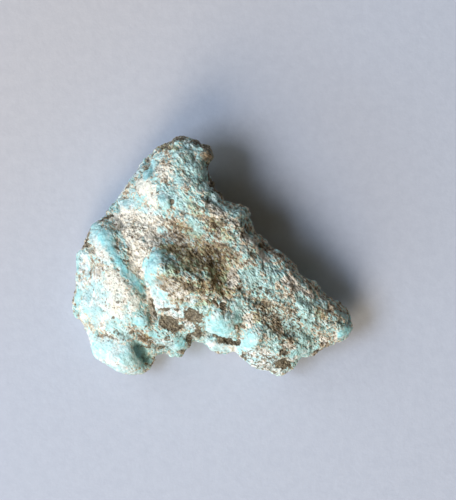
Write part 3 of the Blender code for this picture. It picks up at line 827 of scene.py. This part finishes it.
# ---------------------------------------------------------------- material
class Tree:
    """Short calls for building a node tree."""

    MIX_FIRST, MIX_SECOND, MIX_OUT = 6, 7, 2  # the sockets of a colour mix

    def __init__(self, material):
        material.use_nodes = True
        self.nodes = material.node_tree.nodes
        self.links = material.node_tree.links
        self.nodes.clear()
        self.where = self.add("ShaderNodeTexCoord").outputs["Object"]

    def add(self, kind, **settings):
        node = self.nodes.new(kind)
        for name, value in settings.items():
            setattr(node, name, value)
        return node

    def put(self, socket, value):
        """Links a socket to another, or gives it a plain value."""
        if isinstance(value, bpy.types.NodeSocket):
            self.links.new(value, socket)
        else:
            socket.default_value = value

    def attribute(self, name):
        return self.add("ShaderNodeAttribute", attribute_name=name).outputs["Fac"]

    def math(self, operation, first, second=0.0, third=0.0):
        node = self.add("ShaderNodeMath", operation=operation)
        for socket, value in zip(node.inputs, (first, second, third)):
            self.put(socket, value)
        return node.outputs[0]

    def total(self, terms):
        """The sum of (value, weight) pairs."""
        (value, weight), *rest = terms
        out = self.math("MULTIPLY", value, weight)
        for value, weight in rest:
            out = self.math("MULTIPLY_ADD", value, weight, out)
        return out

    def range(self, value, low, high, to_low=0.0, to_high=1.0):
        node = self.add("ShaderNodeMapRange", interpolation_type="SMOOTHSTEP")
        for socket, number in zip(node.inputs, (value, low, high, to_low, to_high)):
            self.put(socket, number)
        return node.outputs[0]

    def ragged(self, zone, noise, amount, low, high):
        """A zone's strength as a share from 0 to 1, with an edge made ragged by that amount of noise."""
        edge = self.math("MULTIPLY_ADD", noise, amount, -amount / 2)
        return self.range(self.math("ADD", zone, edge), low, high)

    def mix(self, share, first, second, blend="MIX"):
        node = self.add("ShaderNodeMix", data_type="RGBA", blend_type=blend)
        self.put(node.inputs[0], share)
        self.put(node.inputs[self.MIX_FIRST], first)
        self.put(node.inputs[self.MIX_SECOND], second)
        return node.outputs[self.MIX_OUT]

    def streaks(self, stretch):
        """Places in a frame turned and squeezed, so that a pattern drawn on them runs in streaks."""
        node = self.add("ShaderNodeMapping", vector_type="TEXTURE")
        self.put(node.inputs["Vector"], self.where)
        node.inputs["Rotation"].default_value = (0, 0, STREAK_ANGLE)
        node.inputs["Scale"].default_value = (stretch, 1, 1)
        return node.outputs[0]

    def noise(self, vector, size, detail, rough=0.55, lean=0.0):
        """Noise with features about `size` millimetres across."""
        node = self.add("ShaderNodeTexNoise")
        self.put(node.inputs["Vector"], vector)
        node.inputs["Scale"].default_value = 1 / (size * MM)
        node.inputs["Detail"].default_value = detail
        node.inputs["Roughness"].default_value = rough
        node.inputs["Distortion"].default_value = lean
        return node.outputs["Fac"]

    def crumbs(self, vector, size):
        """Small packed cells: the distance from each one's centre, and each one's own number."""
        node = self.add("ShaderNodeTexVoronoi", feature="F1")
        self.put(node.inputs["Vector"], vector)
        node.inputs["Scale"].default_value = 1 / (size * MM)
        split = self.add("ShaderNodeSeparateColor")
        self.put(split.inputs[0], node.outputs["Color"])
        return node.outputs["Distance"], split.outputs[0]

    def ramp(self, value, stops):
        node = self.add("ShaderNodeValToRGB")
        self.put(node.inputs[0], value)
        elements = node.color_ramp.elements
        while len(elements) < len(stops):
            elements.new(0.5)
        for element, (at, colour) in zip(elements, stops):
            element.position = at
            element.color = colour
        return node.outputs[0]

    def finish(self, colour, roughness, height, strength, depth):
        """Wires a shader with a bump that is `depth` millimetres deep to the output, and returns it."""
        shader = self.add("ShaderNodeBsdfPrincipled")
        self.put(shader.inputs["Base Color"], colour)
        self.put(shader.inputs["Roughness"], roughness)
        bump = self.add("ShaderNodeBump")
        bump.inputs["Strength"].default_value = strength
        bump.inputs["Distance"].default_value = depth * MM
        self.put(bump.inputs["Height"], height)
        self.put(shader.inputs["Normal"], bump.outputs[0])
        out = self.add("ShaderNodeOutputMaterial")
        self.put(out.inputs[0], shader.outputs[0])
        return shader


def shared_patterns(t):
    """The numbers written on the mesh, and the noises that several layers of colour share."""
    p = SimpleNamespace(**{name: t.attribute(name) for name in ZONE_NAMES})
    streak = t.streaks(COLOUR_STRETCH)
    long_streak = t.streaks(DUST_STRETCH)
    p.broad = t.noise(streak, size=3.4, detail=2.0)
    p.middle = t.noise(streak, size=1.0, detail=3.0, rough=0.6)
    p.fine = t.noise(long_streak, size=0.38, detail=4.0, rough=0.65)
    p.round_fine = t.noise(t.where, size=0.45, detail=4.0, rough=0.6)
    p.crumb, p.crumb_tone = t.crumbs(streak, size=0.44)
    p.dust, p.dust_tone = t.crumbs(long_streak, size=0.22)
    return p


def ground_colour(t, p):
    """Rough ground: teal, grey, beige and brown crumbs, each nearly one colour, with painted highlights
    as pale specks on some of them.
    """
    tone = t.total([(getattr(p, name), weight) for name, weight in TONE_WEIGHTS.items()])
    tone = t.range(tone, *TONE_RANGE)
    olive_share = t.ragged(p.olive, p.middle, amount=0.6, low=0.15, high=0.65)
    colour = t.mix(olive_share, t.ramp(tone, GROUND), t.ramp(tone, OLIVE_GROUND))
    # Painted highlights on a few crumbs of the rough ground.
    painted_glint = t.math("MULTIPLY", t.range(p.dust_tone, 0.86, 0.94), p.rough)
    return t.mix(t.math("MULTIPLY", painted_glint, PAINTED_GLINT_COVER), colour, PAINTED_GLINT)


def lay_sand(t, p, colour):
    """Beige crust with brown pinholes."""
    crust = t.ramp(t.noise(t.where, size=0.6, detail=4.0, rough=0.7), SAND_CRUST)
    p.sand_share = t.ragged(p.sand, p.fine, amount=1.0, low=0.3, high=0.62)
    return t.mix(p.sand_share, colour, crust)


def lay_chalk(t, p, colour):
    """White to cream crust with cyan clouds, brown specks and hair-thin brown veins."""
    crust = t.ramp(t.noise(t.where, size=1.8, detail=4.0, rough=0.65, lean=0.4), CHALK_CRUST)
    crust = t.mix(t.range(p.sand, 0.1, 0.5, 0.0, CREAM_COVER), crust, CREAM)
    speck = t.range(t.noise(t.where, size=0.36, detail=2.0, rough=0.6), 0.62, 0.69)
    vein = t.math("SUBTRACT", t.noise(t.where, size=1.9, detail=4.0, rough=0.6), 0.5)
    vein = t.range(t.math("ABSOLUTE", vein), VEIN_WIDTH, 0.0)
    vein = t.math("MULTIPLY", vein, t.range(p.middle, 0.46, 0.6))
    brown = t.math("MULTIPLY", t.math("MAXIMUM", speck, vein), VEIN_COVER)
    crust = t.mix(brown, crust, VEIN)
    p.chalk_share = t.ragged(p.chalk, p.round_fine, amount=1.2, low=0.34, high=0.62)
    return t.mix(p.chalk_share, colour, crust)


def lay_cyan(t, p, colour):
    """Clean blue-green crust with paler clouds, vivid where the zone is strongest."""
    crust = t.ramp(t.noise(t.where, size=1.1, detail=4.0, rough=0.6), CYAN_CRUST)
    vivid = t.range(p.cyan, 0.72, 0.95, 0.0, VIVID_COVER)
    vivid = t.math("MULTIPLY", vivid, t.range(p.middle, 0.4, 0.56))
    crust = t.mix(vivid, crust, VIVID_CYAN)
    p.cyan_share = t.ragged(p.cyan, p.round_fine, amount=1.0, low=0.34, high=0.68)
    return t.mix(p.cyan_share, colour, crust)


def lay_teal(t, p, colour):
    """Blue-green patches, deeper where the zone is stronger; at its strongest, in the foot's notch, the
    deep teal is painted shade.
    """
    patchy = t.range(p.middle, 0.35, 0.65)
    pale = t.mix(patchy, *PALE_TEAL)
    deep_teal_and_shade = t.mix(patchy, *DEEP_TEAL_AND_SHADE)
    teal = t.mix(t.range(p.teal, 0.5, 0.9), pale, deep_teal_and_shade)
    share = t.ragged(p.teal, p.round_fine, amount=1.0, low=0.35, high=0.7)
    return t.mix(t.math("MULTIPLY", share, TEAL_COVER), colour, teal)


def lay_stains_dirt_and_shade(t, p, colour):
    """Tan limonite stains, and dirt with painted shade in the gaps between grains, less of both on the
    crusts.
    """
    stain_share = t.math("MULTIPLY", p.tan, STAIN_COVER)
    colour = t.mix(stain_share, colour, t.mix(p.crumb_tone, *STAIN))
    gap = t.math("MULTIPLY", p.hollow, t.range(p.fine, 0.35, 0.6, 0.2, 0.75))
    crust = t.math("MAXIMUM", p.chalk_share, t.math("MULTIPLY", p.sand_share, SAND_CLEAN))
    gap = t.math("MULTIPLY", gap, t.math("MULTIPLY_ADD", crust, -CRUST_CLEAN, 1.0))
    return t.mix(gap, colour, t.mix(p.broad, *GAP_DIRT_AND_SHADE))


def lay_matrix_and_shade(t, p, colour):
    """Dark matrix in the inclusions, and painted shade along the crown's right side wall."""
    matrix = t.ramp(t.noise(t.where, size=0.35, detail=3.0, rough=0.7), MATRIX_AND_SHADE)
    p.dark_share = t.ragged(p.dark, p.round_fine, amount=1.8, low=0.36, high=0.6)
    return t.mix(p.dark_share, colour, matrix)


def paint_relief_shade(t, p, colour):
    """Painted shade darkens the low places, and painted light makes what stands proud paler."""
    relief_shade = t.range(p.proud, 0.2, 0.8, *RELIEF_SHADE_TINT)
    tint = t.add("ShaderNodeCombineColor")
    for socket in tint.inputs:
        t.put(socket, relief_shade)
    relief_shaded = t.mix(1.0, colour, tint.outputs[0], "MULTIPLY")
    return t.mix(t.range(p.rough, 0.25, 0.9, 0.22, 1.0), colour, relief_shaded)


def stone_roughness(t, p):
    """Matt ground, with a little more gloss on the cyan crust and in the dark matrix."""
    roughness = t.range(p.fine, 0.3, 0.7, *GROUND_ROUGHNESS)
    roughness = t.math("MULTIPLY_ADD", p.cyan_share, -CYAN_GLOSS, roughness)
    return t.math("MULTIPLY_ADD", p.dark_share, -MATRIX_GLOSS, roughness)


def stone_grit(t, p):
    """Height for the bump: crumbs and dust where the stone is rough, and a faint grit all over."""
    grit = t.total([(getattr(p, name), weight) for name, weight in GRIT_WEIGHTS.items()])
    grit = t.math("MULTIPLY", grit, t.range(p.rough, 0.2, 1.0, SMOOTH_GRIT, 1.0))
    faint = t.noise(t.where, size=0.3, detail=3.0, rough=0.6)
    return t.math("MULTIPLY_ADD", faint, FAINT_GRIT, grit)


def stone_material():
    material = bpy.data.materials.new("turquoise_rough")
    t = Tree(material)
    p = shared_patterns(t)
    colour = ground_colour(t, p)
    for lay in (lay_sand, lay_chalk, lay_cyan, lay_teal, lay_stains_dirt_and_shade, lay_matrix_and_shade, paint_relief_shade):
        colour = lay(t, p, colour)
    shader = t.finish(colour, stone_roughness(t, p), stone_grit(t, p), *STONE_BUMP)
    shader.inputs["Specular IOR Level"].default_value = STONE_SPECULAR
    return material


def paper_material():
    """Pale paper with a faint pulp, and a painted warm light towards -X and +Y."""
    material = bpy.data.materials.new("pale_paper")
    t = Tree(material)
    pulp = t.noise(t.where, size=1.6, detail=4.0, rough=0.7)
    colour = t.mix(t.range(pulp, 0.25, 0.75), *PAPER_COLOURS)
    split = t.add("ShaderNodeSeparateXYZ")
    t.put(split.inputs[0], t.where)
    across = t.math("SUBTRACT", split.outputs[1], split.outputs[0])
    painted_warm_light = t.range(across, *PAPER_PAINTED_WARM_LIGHT_RANGE)
    colour = t.mix(painted_warm_light, colour, PAPER_PAINTED_WARM_LIGHT, "MULTIPLY")
    grain = t.noise(t.where, size=0.7, detail=4.0, rough=0.6)
    t.finish(colour, PAPER_ROUGHNESS, grain, *PAPER_BUMP)
    return material


# ---------------------------------------------------------------- stage
PAPER_HALF = 0.6  # from its middle to its edge

# (name, the way its light travels in plan and its height, both in degrees, distance, width and height
# of the lamp, watts, colour)
LIGHTS = [
    ("window", 68, 38, 1.0, (0.5, 0.55), 6.25, (1.0, 0.82, 0.60)),
    ("sky", 12, 50, 1.0, (0.6, 0.42), 6.8, (0.70, 0.81, 1.0)),
    ("low_sky", 45, 18, 1.2, (1.6, 0.3), 7.5, (0.70, 0.86, 1.0)),
    ("left_sky", -28, 32, 1.1, (0.7, 0.4), 2.3, (0.88, 0.95, 1.0)),
]
ROOM_COLOUR = (1.0, 0.83, 0.52, 1)
ROOM_STRENGTH = 0.065

LENS = 150  # as a camera gives it, in millimetres
SENSOR = 36
SENSOR_VIEW = 77.5 * MM  # what the sensor's longer side sees at the aim
AIM = (2.48 * MM, 1.05 * MM, 8 * MM)
CLIP_START = 0.01


def build_paper(scene):
    """The floor that the stone lies on."""
    h = PAPER_HALF
    mesh = bpy.data.meshes.new("paper")
    mesh.from_pydata([(-h, -h, 0), (h, -h, 0), (h, h, 0), (-h, h, 0)], [], [(0, 1, 2, 3)])
    paper = bpy.data.objects.new("paper", mesh)
    scene.collection.objects.link(paper)
    mesh.materials.append(paper_material())


def add_light(scene, name, toward, height, distance, size, power, colour):
    """A soft light that looks at the stone."""
    a, e = math.radians(toward), math.radians(height)
    back = Vector((-math.cos(a) * math.cos(e), -math.sin(a) * math.cos(e), math.sin(e)))
    data = bpy.data.lights.new(name, "AREA")
    data.shape = "RECTANGLE"
    data.size, data.size_y = size
    data.energy = power
    data.color = colour
    light = bpy.data.objects.new(name, data)
    light.location = back * distance
    light.rotation_euler = (-back).to_track_quat("-Z", "Y").to_euler()
    scene.collection.objects.link(light)


def add_room_light(scene):
    """What the room throws back from all round."""
    world = bpy.data.worlds.new("room")
    world.use_nodes = True
    background = world.node_tree.nodes["Background"]
    background.inputs["Color"].default_value = ROOM_COLOUR
    background.inputs["Strength"].default_value = ROOM_STRENGTH
    scene.world = world


def add_camera(scene):
    """Straight above the stone, as in the photo."""
    data = bpy.data.cameras.new("camera")
    data.lens = LENS
    data.sensor_width = SENSOR
    data.clip_start = CLIP_START
    camera = bpy.data.objects.new("camera", data)
    camera.location = Vector(AIM) + Vector((0, 0, LENS / SENSOR * SENSOR_VIEW))
    scene.collection.objects.link(camera)
    scene.camera = camera


def build_stage():
    scene = bpy.context.scene
    build_paper(scene)
    for light in LIGHTS:
        add_light(scene, *light)
    add_room_light(scene)
    scene.view_settings.view_transform = "Standard"
    add_camera(scene)


def build_stone(source):
    """One closed mesh, shaped, mapped, and painted by the numbers written on its points."""
    mesh = fine_mesh(source)
    points, facing, zones = shape_stone(mesh)
    project_charts(mesh, points, facing)
    mesh.vertices.foreach_set("co", (points * MM).ravel())
    for name, values in zones.items():
        layer = mesh.attributes.new(name, "FLOAT", "POINT")
        layer.data.foreach_set("value", values.astype(np.float32))
    mesh.shade_smooth()
    mesh.materials.clear()
    mesh.materials.append(stone_material())
    mesh.update()
    stone = bpy.data.objects.new("stone", mesh)
    bpy.context.scene.collection.objects.link(stone)
    return stone


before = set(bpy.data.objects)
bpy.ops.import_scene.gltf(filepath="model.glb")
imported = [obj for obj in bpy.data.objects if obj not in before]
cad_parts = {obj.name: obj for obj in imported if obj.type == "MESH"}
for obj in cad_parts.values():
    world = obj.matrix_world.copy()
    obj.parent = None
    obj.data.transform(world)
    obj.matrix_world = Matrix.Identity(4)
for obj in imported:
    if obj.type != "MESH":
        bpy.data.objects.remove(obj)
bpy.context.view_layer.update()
nugget = build_stone(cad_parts["turquoise_nugget"])
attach(nugget, "root")
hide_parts("turquoise_nugget")
build_stage()
